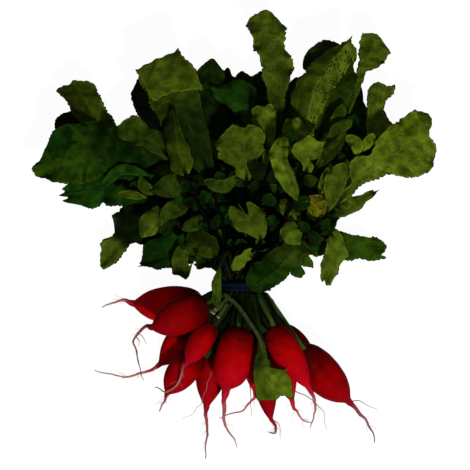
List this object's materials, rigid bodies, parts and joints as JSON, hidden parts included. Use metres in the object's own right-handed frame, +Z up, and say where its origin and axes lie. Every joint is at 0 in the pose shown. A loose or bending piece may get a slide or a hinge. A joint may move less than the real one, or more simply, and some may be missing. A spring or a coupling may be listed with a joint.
{
  "type": "bunch of radishes",
  "caption": "Tied bunch of round-to-long red radishes with thin taproots and lobed green leaves, lying on its side, a rubber band round the stalks; a market vegetable.",
  "frame": {"origin": "middle of the bunch's footprint, on the table it lies on", "axes": "+Z up from the table; +Y along the bunch from the roots to the leaves, its longest side; +X across it, to the right when seen from above with the leaves away from the viewer"},
  "size_m": [0.2898, 0.3252, 0.089],
  "materials": {
    "radish_skin": "satin",
    "rubber": "satin",
    "leaf": "matte"
  },
  "bodies": {
    "root": {"radish_01": "radish_skin", "radish_02": "radish_skin", "radish_03": "radish_skin", "radish_04": "radish_skin", "radish_05": "radish_skin", "radish_06": "radish_skin", "radish_07": "radish_skin", "radish_08": "radish_skin", "radish_09": "radish_skin", "radish_10": "radish_skin", "radish_11": "radish_skin", "radish_12": "radish_skin", "radish_13": "radish_skin", "radish_14": "radish_skin", "rubber_band": "rubber", "leaf_01": "leaf", "leaf_02": "leaf", "leaf_03": "leaf", "leaf_04": "leaf", "leaf_05": "leaf", "leaf_06": "leaf", "leaf_07": "leaf", "leaf_08": "leaf", "leaf_09": "leaf", "leaf_10": "leaf", "leaf_11": "leaf", "leaf_12": "leaf", "leaf_13": "leaf", "leaf_14": "leaf", "leaf_15": "leaf", "leaf_16": "leaf", "leaf_17": "leaf", "leaf_18": "leaf", "leaf_19": "leaf", "leaf_20": "leaf", "leaf_21": "leaf", "leaf_22": "leaf", "leaf_23": "leaf", "leaf_24": "leaf", "leaf_25": "leaf", "leaf_26": "leaf", "leaf_27": "leaf", "leaf_28": "leaf", "leaf_29": "leaf", "leaf_30": "leaf", "leaf_31": "leaf", "leaf_32": "leaf", "leaf_33": "leaf", "leaf_34": "leaf", "leaf_35": "leaf", "leaf_36": "leaf", "leaf_37": "leaf", "leaf_38": "leaf", "leaf_39": "leaf", "leaf_40": "leaf", "leaf_41": "leaf", "leaf_42": "leaf", "leaf_43": "leaf", "leaf_44": "leaf", "leaf_45": "leaf"}
  },
  "joints": []
}
